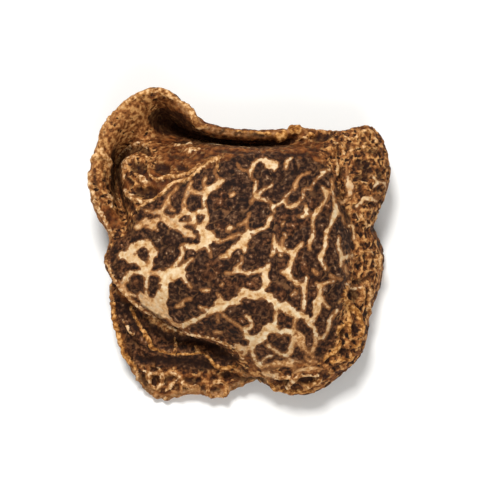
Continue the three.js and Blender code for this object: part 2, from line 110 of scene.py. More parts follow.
# The veins of the cut face, seen square-on: each has a tone, from pale cream (0) to golden
# brown (1), and a run of points (x, y, width), in millimetres.
PALE, TAN, GOLD = 0.0, 0.5, 1.0
VEINS = [
    # The left corner: a ring round one dark eye, and two more eyes under it.
    (PALE, [(-13.6, -1.0, 0.5), (-12.9, -0.6, 0.8), (-12.2, 0.0, 0.8), (-11.2, 0.25, 0.9),
            (-10.4, 0.0, 0.9), (-10.2, -0.7, 0.8), (-10.4, -1.4, 0.7), (-10.6, -2.1, 0.5)]),
    (PALE, [(-13.3, -1.0, 1.0), (-12.5, -1.3, 1.0), (-11.7, -1.7, 0.9), (-11.1, -2.2, 1.0),
            (-10.9, -2.7, 0.5)]),
    (TAN, [(-11.0, -2.8, 0.5), (-10.1, -2.8, 0.35), (-9.3, -2.9, 0.6)]),
    (PALE, [(-11.3, -2.7, 0.4), (-12.2, -2.8, 0.35), (-12.8, -2.9, 0.5), (-13.2, -3.4, 0.5)]),
    (TAN, [(-13.2, -3.5, 0.5), (-13.5, -4.1, 0.4), (-13.1, -4.9, 0.4), (-12.3, -5.2, 0.4),
           (-11.5, -5.4, 0.9), (-10.7, -6.0, 1.2), (-9.9, -6.7, 1.2), (-9.1, -7.4, 0.8)]),
    (PALE, [(-10.9, -2.9, 0.35), (-10.95, -3.9, 0.35), (-10.9, -4.6, 0.35), (-11.0, -5.3, 0.5)]),
    (TAN, [(-10.8, -5.6, 0.7), (-10.1, -5.8, 0.9), (-9.6, -5.6, 0.9)]),
    (PALE, [(-9.2, -3.1, 0.9), (-8.5, -3.0, 1.5), (-7.7, -2.8, 1.5), (-7.2, -2.5, 0.9),
            (-6.7, -1.9, 0.5), (-6.0, -1.3, 0.3)]),
    (PALE, [(-8.95, -3.5, 0.8), (-8.9, -4.5, 0.85), (-9.2, -5.3, 1.2), (-9.4, -5.9, 1.1)]),
    (TAN, [(-9.4, -6.0, 1.2), (-9.3, -6.4, 1.2), (-8.9, -7.1, 0.8), (-8.3, -8.0, 0.4),
           (-7.7, -8.4, 0.5), (-7.0, -8.5, 0.4)]),
    (PALE, [(-7.0, -3.0, 0.6), (-6.6, -3.8, 0.35), (-6.1, -4.3, 0.3)]),
    (TAN, [(-7.6, -6.4, 0.3), (-7.1, -6.2, 0.35), (-6.8, -5.7, 0.2), (-6.1, -5.6, 0.2)]),
    # Round the big cell of the left side.
    (PALE, [(-8.2, -2.4, 0.5), (-7.6, -1.7, 0.4), (-7.1, -0.9, 0.35), (-7.1, 0.0, 0.35)]),
    (PALE, [(-7.0, 0.2, 0.4), (-6.0, 0.0, 0.5), (-5.1, 0.0, 0.7), (-4.5, 0.5, 1.2), (-4.4, 1.1, 1.5),
            (-3.8, 1.0, 0.9), (-3.3, 0.5, 0.4)]),
    (PALE, [(-4.5, 0.2, 0.5), (-4.2, -0.3, 0.4), (-4.0, -0.8, 0.35), (-4.0, -1.1, 0.2)]),
    (PALE, [(-4.9, 1.6, 0.9), (-5.2, 2.2, 0.7), (-5.8, 2.8, 0.5), (-5.9, 3.4, 0.4), (-5.3, 3.75, 0.4),
            (-4.8, 3.7, 0.4)]),
    (PALE, [(-4.7, 2.5, 0.5), (-4.4, 3.1, 0.4), (-4.6, 4.0, 0.4), (-4.7, 5.0, 0.4), (-4.5, 5.9, 0.5),
            (-3.8, 6.4, 0.4)]),
    (PALE, [(-3.7, 6.5, 0.5), (-3.2, 6.9, 0.6), (-2.6, 7.1, 0.3)]),
    (TAN, [(-5.7, 1.1, 0.35), (-6.1, 1.2, 0.55), (-6.7, 1.65, 0.8), (-7.1, 1.9, 0.6), (-7.6, 2.4, 0.7),
           (-8.3, 2.7, 0.9), (-8.9, 3.1, 0.7), (-9.3, 3.8, 0.7), (-8.9, 4.5, 0.4)]),
    (TAN, [(-7.3, 2.4, 0.5), (-6.7, 2.5, 0.4), (-6.1, 2.6, 0.4)]),
    (TAN, [(-9.7, 3.0, 0.4), (-10.4, 2.5, 0.7), (-11.2, 2.7, 0.6), (-11.9, 2.2, 0.5)]),
    (TAN, [(-10.9, 2.1, 0.2), (-10.2, 2.1, 0.6), (-9.7, 1.8, 0.4)]),
    (TAN, [(-9.5, 3.8, 0.6), (-10.2, 3.7, 0.4), (-11.0, 3.9, 0.3)]),
    (PALE, [(-7.9, 3.0, 0.6), (-7.2, 3.4, 0.4), (-6.8, 3.7, 0.4), (-6.4, 3.6, 0.4), (-5.9, 3.4, 0.3)]),
    (TAN, [(-6.85, 3.9, 0.4), (-6.9, 4.6, 0.35), (-6.7, 5.4, 0.35), (-6.4, 6.1, 0.35),
           (-6.1, 6.9, 0.3)]),
    (TAN, [(-6.2, 6.2, 0.3), (-5.7, 5.9, 0.35), (-5.1, 5.7, 0.35), (-4.8, 5.8, 0.3)]),
    (TAN, [(-4.5, 7.4, 0.45), (-4.8, 6.9, 0.25), (-4.5, 6.2, 0.3)]),
    (TAN, [(-8.6, 5.2, 0.2), (-8.5, 4.7, 0.35)]),
    (TAN, [(-8.2, 4.0, 0.3), (-7.9, 3.9, 0.2)]),
    (GOLD, [(-8.9, 4.6, 0.3), (-8.6, 5.3, 0.3), (-8.0, 5.9, 0.3), (-7.6, 6.4, 0.25)]),
    (GOLD, [(-3.0, 7.2, 0.3), (-3.5, 7.9, 0.25), (-3.3, 8.6, 0.25)]),
    (GOLD, [(0.1, 8.1, 0.25), (-0.7, 8.3, 0.25), (-1.2, 8.9, 0.3)]),
    # The long diagonal of the middle and the loop above it.
    (PALE, [(-3.0, -1.1, 0.4), (-2.3, -0.9, 0.5), (-1.6, -0.2, 0.5), (-0.9, 0.3, 0.7), (-0.4, 0.9, 1.0),
            (0.0, 1.5, 0.8), (0.5, 1.6, 0.5), (1.3, 1.85, 0.35), (2.0, 2.2, 0.5), (2.2, 2.7, 0.5),
            (2.7, 3.5, 0.5), (2.75, 4.0, 0.45), (2.4, 4.6, 0.4), (1.8, 5.0, 0.4), (1.0, 5.3, 0.35)]),
    (PALE, [(1.0, 5.2, 0.35), (0.7, 5.7, 0.4), (0.75, 6.3, 0.35), (0.9, 6.9, 0.35), (0.4, 7.4, 0.3),
            (0.2, 8.0, 0.35)]),
    (PALE, [(-0.4, 0.4, 0.8), (-0.4, -0.1, 0.5), (-0.3, -0.5, 0.25)]),
    (TAN, [(-0.9, 1.3, 0.4), (-1.6, 1.1, 0.3), (-2.3, 0.8, 0.35), (-3.1, 0.6, 0.3)]),
    (PALE, [(1.1, 5.6, 0.25), (1.5, 6.0, 0.35), (2.1, 6.35, 0.4), (2.5, 6.6, 0.3)]),
    (PALE, [(0.3, 8.2, 0.35), (0.6, 8.8, 0.35), (1.2, 9.3, 0.5), (2.1, 9.1, 1.0), (2.8, 8.7, 0.8),
            (2.8, 8.2, 0.3)]),
    (PALE, [(-2.2, 1.9, 0.5), (-1.8, 2.1, 0.4)]),
    (TAN, [(0.2, 3.6, 0.25), (-0.1, 3.0, 0.3), (-0.4, 2.6, 0.35), (-1.1, 2.3, 0.35)]),
    (TAN, [(-0.2, 2.6, 0.25), (-0.1, 1.9, 0.25)]),
    (TAN, [(-1.8, 5.5, 0.4), (-1.5, 5.7, 0.4)]),
    (TAN, [(0.3, 4.8, 0.3), (0.5, 5.1, 0.25)]),
    (PALE, [(2.8, 4.3, 0.3), (3.2, 4.5, 0.3), (3.7, 4.9, 0.2)]),
    (PALE, [(4.8, 6.1, 0.2), (4.3, 5.7, 0.3), (3.9, 5.2, 0.3), (4.0, 4.6, 0.3), (4.3, 4.25, 0.45),
            (5.0, 4.45, 0.35), (5.6, 4.9, 0.35), (5.9, 5.4, 0.35), (5.9, 6.0, 0.35), (6.2, 6.2, 0.3),
            (6.8, 6.2, 0.15)]),
    (TAN, [(5.1, 6.1, 0.25), (5.1, 6.6, 0.4), (5.3, 7.1, 0.35), (5.8, 7.7, 0.25), (6.6, 8.0, 0.25)]),
    (PALE, [(4.1, 8.4, 0.4), (4.2, 9.1, 0.4), (4.7, 9.6, 0.25)]),
    (PALE, [(6.1, 4.6, 0.25), (6.3, 3.8, 0.55), (6.1, 3.3, 0.45), (5.4, 3.2, 0.35)]),
    (PALE, [(3.8, 2.6, 0.3), (3.7, 2.3, 0.3)]),
    (PALE, [(3.9, 1.4, 0.35), (4.0, 1.1, 0.3)]),
    # The long upright veins of the right side.
    (PALE, [(8.8, 8.3, 0.4), (8.2, 8.1, 0.6), (7.8, 7.6, 0.35), (7.2, 7.1, 0.3), (7.0, 6.7, 0.25)]),
    (PALE, [(8.0, 6.4, 0.35), (8.4, 5.9, 0.4), (8.4, 5.1, 0.45), (7.9, 4.5, 0.45), (7.4, 3.8, 0.45),
            (7.0, 3.2, 0.4), (6.9, 2.4, 0.35), (7.0, 1.8, 0.4), (6.85, 1.1, 0.45), (6.6, 0.5, 0.4),
            (6.6, -0.3, 0.25)]),
    (GOLD, [(8.5, 6.1, 0.4), (8.9, 6.0, 0.5), (9.1, 6.6, 0.35), (9.0, 7.3, 0.25)]),
    (PALE, [(9.0, 6.9, 0.1), (9.1, 6.1, 0.15), (9.2, 5.4, 0.25), (9.3, 4.6, 0.35), (9.5, 3.8, 0.6),
            (9.1, 2.9, 0.4), (8.8, 2.2, 0.45), (8.4, 1.5, 0.55), (8.3, 0.7, 0.55), (8.25, 0.0, 0.4),
            (8.0, -0.6, 0.45), (7.75, -1.1, 0.45), (7.9, -1.7, 0.4), (8.3, -2.3, 0.3)]),
    (PALE, [(9.75, 1.0, 0.3), (9.7, 0.2, 0.4), (9.9, -0.6, 0.35), (10.0, -1.2, 0.4),
            (9.95, -2.1, 0.15)]),
    (PALE, [(10.1, -1.1, 0.35), (10.8, -1.1, 0.4), (11.3, -0.9, 0.3)]),
    (TAN, [(11.3, -1.2, 0.25), (11.9, -1.7, 0.25)]),
    (PALE, [(2.8, 1.2, 0.25), (2.8, 0.4, 0.35), (2.75, -0.4, 0.4), (2.5, -0.9, 0.25)]),
    (PALE, [(2.9, 0.1, 0.45), (3.5, -0.2, 0.6), (4.1, -0.5, 0.5), (4.75, -0.8, 0.55),
            (4.65, -1.6, 0.45), (4.4, -2.3, 0.4), (4.2, -2.9, 0.55), (4.8, -3.6, 0.55),
            (5.4, -4.0, 0.45), (5.9, -4.1, 0.4)]),
    (PALE, [(3.5, -0.4, 0.4), (3.5, -0.9, 0.3)]),
    (PALE, [(4.9, -0.7, 0.5), (5.3, -0.2, 0.5), (5.8, 0.4, 0.25)]),
    (TAN, [(3.7, 0.8, 0.25), (3.7, 0.0, 0.3)]),
    (PALE, [(4.2, -2.7, 0.35), (3.6, -2.7, 0.25)]),
    (PALE, [(6.25, -3.3, 0.35), (6.05, -4.1, 0.45), (6.0, -4.9, 0.45), (6.0, -5.7, 0.45),
            (5.95, -6.6, 0.4)]),
    (PALE, [(5.1, -4.9, 0.35), (4.7, -5.2, 0.35)]),
    (TAN, [(7.0, -2.5, 0.25), (7.4, -2.9, 0.25)]),
    # The lower middle.
    (PALE, [(2.3, -1.9, 0.4), (1.9, -2.3, 0.5), (1.0, -2.65, 0.4), (-0.1, -2.8, 0.4), (-0.9, -2.6, 0.5),
            (-1.2, -2.2, 0.35), (-0.7, -1.7, 0.25), (-0.7, -1.1, 0.2)]),
    (TAN, [(-1.3, -2.5, 0.4), (-1.7, -2.8, 0.3), (-2.4, -2.8, 0.2)]),
    (PALE, [(1.8, -2.6, 0.7), (1.8, -3.3, 0.8), (2.0, -4.0, 0.6), (1.6, -4.6, 0.6)]),
    (PALE, [(-7.0, -8.5, 0.45), (-6.2, -8.1, 0.4), (-5.3, -7.7, 0.45), (-4.6, -7.2, 0.5),
            (-3.6, -6.65, 0.8), (-2.8, -6.25, 0.95), (-1.8, -6.0, 0.6), (-0.9, -5.4, 1.0),
            (-0.4, -4.9, 1.0), (0.5, -5.1, 0.9), (1.5, -5.1, 1.0), (2.6, -5.6, 0.9), (3.3, -6.2, 0.9),
            (4.0, -6.4, 0.8), (4.6, -7.0, 0.8), (5.3, -7.2, 0.8), (5.9, -7.3, 0.7), (6.6, -7.8, 0.7),
            (7.2, -7.3, 0.7), (7.3, -6.5, 0.9), (7.55, -5.7, 0.8), (7.7, -5.0, 0.5), (7.65, -4.3, 0.5),
            (7.3, -3.9, 0.25)]),
    (PALE, [(-3.4, -6.3, 0.5), (-3.0, -5.5, 0.35), (-3.3, -5.0, 0.25)]),
    (PALE, [(-5.2, -6.4, 0.2), (-4.5, -6.8, 0.4)]),
    (PALE, [(-5.0, -4.6, 0.15), (-4.6, -4.7, 0.35), (-4.1, -4.6, 0.15)]),
    (TAN, [(-2.9, -4.2, 0.25), (-2.7, -3.9, 0.25)]),
    (PALE, [(7.8, -4.2, 0.35), (8.5, -3.8, 0.35), (9.2, -3.7, 0.15)]),
    (TAN, [(8.8, -3.0, 0.2), (9.3, -3.3, 0.25), (9.9, -3.5, 0.25)]),
    (PALE, [(8.0, -5.8, 0.3), (8.3, -6.2, 0.25), (8.6, -6.5, 0.3)]),
    (PALE, [(3.0, -6.5, 0.6), (2.95, -7.2, 0.45), (2.9, -7.9, 0.5), (2.5, -8.5, 1.0), (1.9, -9.1, 1.1),
            (1.4, -9.7, 1.2), (0.5, -9.8, 0.7), (-0.2, -9.4, 0.6), (-0.2, -8.9, 0.5), (0.3, -8.6, 0.4),
            (0.5, -8.2, 0.3), (0.2, -7.8, 0.35), (-0.2, -7.4, 0.3)]),
    (TAN, [(-0.5, -8.9, 0.3), (-1.2, -8.3, 0.25), (-2.0, -7.8, 0.25), (-2.6, -7.3, 0.3)]),
    (PALE, [(2.6, -8.7, 0.9), (3.4, -9.1, 0.7), (4.2, -9.1, 0.5), (4.8, -9.3, 0.7)]),
    (GOLD, [(5.0, -9.4, 0.8), (5.5, -9.9, 1.1), (5.7, -10.6, 0.9), (6.2, -11.2, 0.5), (6.6, -11.5, 0.4),
            (7.0, -11.9, 0.3)]),
    (TAN, [(5.0, -9.6, 0.7), (4.8, -10.4, 0.5), (4.6, -11.2, 0.5), (4.3, -11.8, 0.5),
           (4.7, -12.3, 0.5)]),
    (TAN, [(5.1, -7.6, 0.4), (4.9, -8.4, 0.3), (5.0, -9.2, 0.5)]),
    (PALE, [(6.2, -7.8, 0.5), (6.6, -8.3, 0.4), (7.1, -8.8, 0.5), (7.3, -9.5, 0.5), (8.0, -9.8, 0.4),
            (8.4, -9.2, 0.35), (8.7, -8.4, 0.3), (8.8, -7.8, 0.3), (9.2, -7.3, 0.35),
            (9.6, -6.8, 0.3)]),
    (TAN, [(7.3, -9.5, 0.45), (7.2, -10.4, 0.4), (6.9, -11.2, 0.35)]),
    (PALE, [(1.0, -9.9, 0.8), (0.5, -10.4, 0.6), (0.4, -11.1, 0.6), (0.6, -11.8, 0.5),
            (0.8, -12.4, 0.45), (1.4, -12.9, 0.45)]),
    (TAN, [(0.2, -10.9, 0.6), (-0.6, -10.9, 0.6), (-1.4, -10.6, 0.4)]),
    (TAN, [(-0.3, -11.4, 0.5), (-0.7, -12.0, 0.4)]),
    (PALE, [(2.1, -10.6, 0.35), (2.7, -11.0, 0.35), (3.4, -11.5, 0.3), (4.1, -11.7, 0.35)]),
    (PALE, [(1.6, -12.2, 0.35), (2.0, -11.9, 0.5), (2.5, -11.7, 0.35)]),
    (GOLD, [(1.5, -13.0, 0.5), (2.4, -12.8, 0.5), (3.3, -12.6, 0.6), (4.2, -12.6, 0.6),
            (5.0, -12.9, 0.4)]),
    (TAN, [(5.0, -13.6, 0.3), (5.5, -13.3, 0.4), (6.3, -13.2, 0.5), (7.2, -13.1, 0.35),
           (8.0, -13.2, 0.25)]),
    (TAN, [(5.2, -12.3, 0.3), (5.7, -12.4, 0.3)]),
    (TAN, [(6.2, -11.8, 0.3), (6.6, -12.3, 0.3), (7.4, -12.4, 0.3)]),
    (TAN, [(1.6, -13.6, 0.4), (2.4, -13.8, 0.8), (3.2, -13.7, 0.4)]),
    (TAN, [(-3.3, -7.4, 0.2), (-3.2, -7.9, 0.35)]),
    (TAN, [(-3.6, -9.2, 0.25), (-3.0, -9.2, 0.35)]),
    # The right margin.
    (PALE, [(10.6, -4.1, 0.35), (11.1, -4.5, 0.5), (11.7, -4.5, 0.45), (12.6, -4.2, 0.25)]),
    (TAN, [(10.5, -2.1, 0.25), (10.5, -2.6, 0.4), (10.8, -2.9, 0.35)]),
    (PALE, [(10.8, 2.2, 0.25), (11.3, 2.2, 0.5), (11.4, 1.5, 0.4), (11.5, 0.9, 0.25)]),
    (TAN, [(9.6, 3.7, 0.4), (10.1, 3.3, 0.3), (10.3, 2.5, 0.3)]),
    (TAN, [(10.6, 8.9, 0.2), (10.7, 8.0, 0.3), (10.9, 7.1, 0.6), (11.0, 6.4, 0.9), (11.0, 5.7, 0.5)]),
    (TAN, [(10.7, 5.1, 0.4), (10.2, 4.8, 0.45), (9.9, 5.0, 0.3)]),
    (PALE, [(13.0, 7.9, 0.3), (13.6, 7.5, 0.3), (14.0, 7.0, 0.45), (13.6, 6.4, 0.25)]),
    (PALE, [(14.0, 7.0, 0.35), (14.8, 6.9, 0.35), (15.0, 6.3, 0.25)]),
    (PALE, [(11.6, 4.3, 0.3), (12.2, 4.8, 0.35), (12.6, 5.2, 0.55), (13.3, 5.1, 0.5),
            (13.9, 4.9, 0.3)]),
    (TAN, [(13.7, 5.3, 0.2), (14.1, 5.4, 0.4)]),
]

# The raised lines and knobs of the margins, seen square-on, written as the veins are. The wider
# they are, the higher they stand.
RIDGES = [
    # The crest of the fold, in two strands.
    (TAN, [(-11.9, 4.0, 0.3), (-10.9, 4.7, 0.3), (-9.8, 5.3, 0.3), (-9.0, 5.9, 0.3), (-8.5, 6.5, 0.3),
           (-7.8, 6.9, 0.3), (-7.0, 7.05, 0.35), (-6.3, 7.3, 0.35), (-5.6, 7.9, 0.3), (-5.0, 8.5, 0.35),
           (-4.2, 9.1, 0.45), (-3.0, 9.6, 0.3)]),
    (TAN, [(-9.6, 7.2, 0.35), (-8.7, 7.5, 0.45), (-7.6, 7.5, 0.45), (-6.8, 7.8, 0.35),
           (-6.0, 8.1, 0.35), (-5.2, 8.8, 0.3)]),
    (TAN, [(-3.2, 9.6, 0.3), (-3.3, 8.8, 0.3), (-3.1, 8.1, 0.15)]),
    (PALE, [(-6.9, 10.2, 0.3), (-6.1, 10.4, 0.45), (-5.2, 10.4, 0.3)]),
    (PALE, [(-7.9, 10.9, 0.2), (-7.0, 10.8, 0.3), (-6.2, 11.1, 0.25), (-6.2, 11.6, 0.2)]),
    # The knobs on the lip, further right.
    (GOLD, [(3.3, 12.0, 0.8), (3.9, 12.1, 0.8)]),
    (GOLD, [(4.8, 12.6, 0.8), (5.5, 12.6, 0.7)]),
    (GOLD, [(6.7, 12.1, 0.5), (7.0, 12.1, 0.4)]),
    (TAN, [(5.3, 11.4, 0.2), (5.7, 11.8, 0.25), (6.4, 11.8, 0.25), (6.7, 11.3, 0.2)]),
    # The broken rim of the tongue's rolled end, its cream patch, and the thin line along the
    # outside of the groove round it.
    (PALE, [(-11.1, 4.8, 0.3), (-12.1, 5.1, 0.5), (-12.8, 5.6, 0.5), (-13.2, 6.2, 0.25)]),
    (PALE, [(-13.4, 7.1, 0.15), (-13.4, 8.0, 0.25), (-13.3, 8.9, 0.45), (-12.8, 9.4, 0.4),
            (-12.0, 9.7, 0.2)]),
    (TAN, [(-11.0, 9.6, 0.3), (-10.6, 9.1, 0.5), (-10.7, 8.3, 0.3), (-10.5, 7.6, 0.25),
           (-9.9, 7.2, 0.35)]),
    (PALE, [(-11.9, 7.7, 0.3), (-11.4, 7.3, 0.6), (-11.0, 6.9, 0.4)]),
    (PALE, [(-14.8, 8.9, 0.2), (-13.9, 10.1, 0.25), (-12.8, 10.95, 0.25), (-11.7, 11.25, 0.25),
            (-10.9, 10.8, 0.2)]),
    # The ear.
    (TAN, [(-16.8, 9.3, 0.3), (-16.1, 9.9, 0.65), (-15.4, 9.5, 0.5), (-15.0, 8.6, 0.3),
           (-14.9, 7.8, 0.25), (-14.7, 6.8, 0.2), (-14.4, 5.8, 0.2), (-14.1, 4.9, 0.2),
           (-13.6, 4.1, 0.15)]),
    (TAN, [(-16.0, 9.9, 0.5), (-15.9, 11.1, 0.4), (-15.7, 12.4, 0.4), (-15.2, 13.5, 0.3),
           (-14.4, 14.4, 0.3)]),
    (PALE, [(-17.0, 8.0, 0.25), (-17.0, 7.0, 0.25), (-16.7, 5.7, 0.3), (-16.2, 4.2, 0.3),
            (-15.3, 2.6, 0.3), (-14.6, 1.3, 0.3)]),
    (PALE, [(-15.4, 5.9, 0.2), (-14.9, 5.0, 0.3), (-14.9, 4.2, 0.15)]),
    (TAN, [(-13.9, 14.9, 0.25), (-12.6, 15.9, 0.3), (-11.2, 16.6, 0.4), (-9.9, 16.9, 0.4),
           (-8.7, 16.5, 0.55), (-7.6, 15.8, 0.3), (-6.4, 14.8, 0.55), (-5.4, 13.2, 0.55),
           (-4.4, 13.0, 0.3)]),
    (GOLD, [(-3.8, 12.9, 0.15), (-2.0, 12.6, 0.1), (0.4, 12.4, 0.15), (2.4, 12.2, 0.3)]),
    # The thin edge of the sheet at the lower left.
    (PALE, [(-15.2, -1.6, 0.4), (-14.4, -3.4, 0.3), (-13.2, -5.0, 0.3), (-11.8, -6.3, 0.3),
            (-10.5, -7.3, 0.3), (-9.4, -8.2, 0.3), (-8.3, -8.8, 0.3), (-6.4, -9.3, 0.3),
            (-4.2, -9.6, 0.3), (-2.6, -10.2, 0.3), (-1.3, -10.8, 0.25), (-0.5, -11.9, 0.3)]),
    # The doubled layer: its edge, its pleat and a streak between them.
    (GOLD, [(-14.5, -6.0, 0.3), (-14.4, -8.0, 0.35), (-13.8, -10.0, 0.4), (-13.3, -11.4, 0.4),
            (-12.8, -12.4, 0.4), (-12.2, -13.2, 0.3)]),
    (GOLD, [(-12.6, -6.6, 0.3), (-12.2, -7.6, 0.3), (-11.5, -8.9, 0.35), (-10.8, -10.0, 0.4),
            (-10.4, -10.9, 0.35), (-9.4, -11.3, 0.2), (-8.0, -11.6, 0.2), (-6.4, -11.6, 0.2),
            (-5.0, -11.5, 0.2), (-4.2, -12.0, 0.25), (-3.5, -12.7, 0.35), (-2.6, -13.0, 0.4),
            (-1.4, -12.9, 0.3)]),
    (PALE, [(-13.6, -7.9, 0.2), (-13.0, -8.7, 0.3), (-12.4, -9.4, 0.25)]),
    (TAN, [(-8.0, -9.9, 0.15), (-7.8, -10.7, 0.25), (-7.9, -11.4, 0.25)]),
    (TAN, [(-5.7, -10.8, 0.25), (-5.3, -11.3, 0.3)]),
    # The knobs of its lower edge.
    (PALE, [(-11.9, -13.6, 0.25), (-12.0, -14.5, 0.3), (-11.8, -15.2, 0.3), (-11.2, -15.5, 0.25)]),
    (PALE, [(-11.5, -13.4, 0.3), (-10.75, -13.7, 0.35), (-10.65, -14.4, 0.4), (-10.6, -15.0, 0.35),
            (-10.0, -15.4, 0.3)]),
    (PALE, [(-10.6, -13.75, 0.3), (-10.1, -13.8, 0.3), (-9.7, -13.9, 0.3)]),
    (PALE, [(-9.7, -13.0, 0.3), (-9.4, -13.6, 0.45), (-9.3, -14.3, 0.45), (-9.4, -14.9, 0.45),
            (-9.8, -15.3, 0.35)]),
    (PALE, [(-8.3, -13.6, 0.3), (-7.4, -14.1, 0.4), (-7.0, -14.8, 0.45), (-6.3, -15.2, 0.4),
            (-5.5, -15.1, 0.35)]),
    (PALE, [(-7.9, -14.6, 0.35), (-8.4, -15.1, 0.45), (-8.9, -15.6, 0.3)]),
    (PALE, [(-9.0, -16.5, 0.35), (-8.5, -16.6, 0.3)]),
    (TAN, [(-4.4, -15.2, 0.25), (-4.3, -15.8, 0.35), (-3.4, -16.2, 0.45), (-2.6, -15.9, 0.4),
           (-2.3, -15.2, 0.3), (-2.8, -14.6, 0.35), (-3.6, -14.7, 0.3)]),
    # The lobes of the lower edge.
    (GOLD, [(2.3, -14.5, 0.3), (3.0, -15.2, 0.3), (4.2, -15.6, 0.35), (5.6, -15.6, 0.3),
            (6.8, -15.4, 0.3)]),
    (PALE, [(3.0, -14.1, 0.25), (4.5, -14.1, 0.4), (4.7, -14.6, 0.45), (4.3, -15.05, 0.5)]),
    (PALE, [(5.1, -14.3, 0.5), (5.7, -13.9, 0.3), (7.6, -13.9, 0.25)]),
    (TAN, [(7.8, -14.2, 0.4), (7.2, -14.7, 0.4), (6.5, -15.0, 0.35)]),
    # The thick strands of the lower right, round their dark cells.
    (GOLD, [(10.6, -4.2, 0.3), (10.3, -4.8, 0.4), (10.2, -5.4, 0.5), (10.9, -6.3, 0.6),
            (11.6, -7.0, 0.6), (12.0, -7.8, 0.5), (12.3, -8.7, 0.4), (12.1, -9.6, 0.3)]),
    (TAN, [(12.3, -4.3, 0.3), (12.4, -5.5, 0.4), (12.0, -6.3, 0.35)]),
    (TAN, [(12.9, -3.9, 0.3), (13.2, -5.0, 0.4), (12.9, -6.2, 0.35), (13.1, -7.2, 0.4)]),
    (GOLD, [(10.7, -6.4, 0.4), (10.7, -7.2, 0.4), (10.8, -8.0, 0.45), (10.9, -9.0, 0.35),
            (10.9, -9.8, 0.2)]),
    (GOLD, [(10.7, -8.1, 0.4), (10.1, -8.4, 0.45), (9.6, -8.8, 0.45), (9.5, -9.4, 0.25)]),
    (GOLD, [(9.9, -10.2, 0.3), (9.7, -10.8, 0.5), (9.3, -11.3, 0.5), (8.6, -11.7, 0.35),
            (8.1, -12.1, 0.3)]),
    (GOLD, [(11.2, -10.9, 0.2), (11.9, -10.6, 0.25), (12.1, -10.0, 0.25)]),
    (GOLD, [(9.0, -12.4, 0.4), (10.0, -12.1, 0.4), (10.8, -12.1, 0.4), (11.3, -11.6, 0.3)]),
    # The lobes of the right.
    (TAN, [(11.8, 3.7, 0.3), (12.3, 3.0, 0.5), (12.8, 2.2, 0.3)]),
    (TAN, [(14.9, 4.8, 0.25), (14.2, 3.8, 0.25), (13.5, 2.8, 0.25), (12.9, 2.2, 0.25)]),
    (TAN, [(11.5, -1.6, 0.25), (12.1, -0.7, 0.25), (12.9, -0.4, 0.25), (13.5, -0.9, 0.25)]),
    (TAN, [(14.0, -1.0, 0.5), (13.9, -1.8, 0.65), (14.2, -2.4, 0.4)]),
    (TAN, [(10.1, 12.0, 0.25), (11.4, 11.6, 0.3), (12.4, 12.4, 0.4), (13.4, 12.2, 0.4),
           (13.9, 11.2, 0.25)]),
    (TAN, [(11.0, 10.3, 0.25), (11.8, 10.8, 0.3), (12.8, 10.7, 0.25), (13.9, 10.6, 0.2)]),
    (TAN, [(10.2, 10.3, 0.3), (10.5, 10.1, 0.3)]),
    (TAN, [(9.2, 11.2, 0.2), (9.9, 11.1, 0.25), (10.3, 10.5, 0.25)]),
    (TAN, [(9.4, 9.3, 0.3), (9.5, 8.6, 0.4), (9.5, 7.8, 0.3)]),
    (TAN, [(11.4, 6.95, 0.15), (12.3, 6.95, 0.2), (13.1, 6.9, 0.15)]),
]

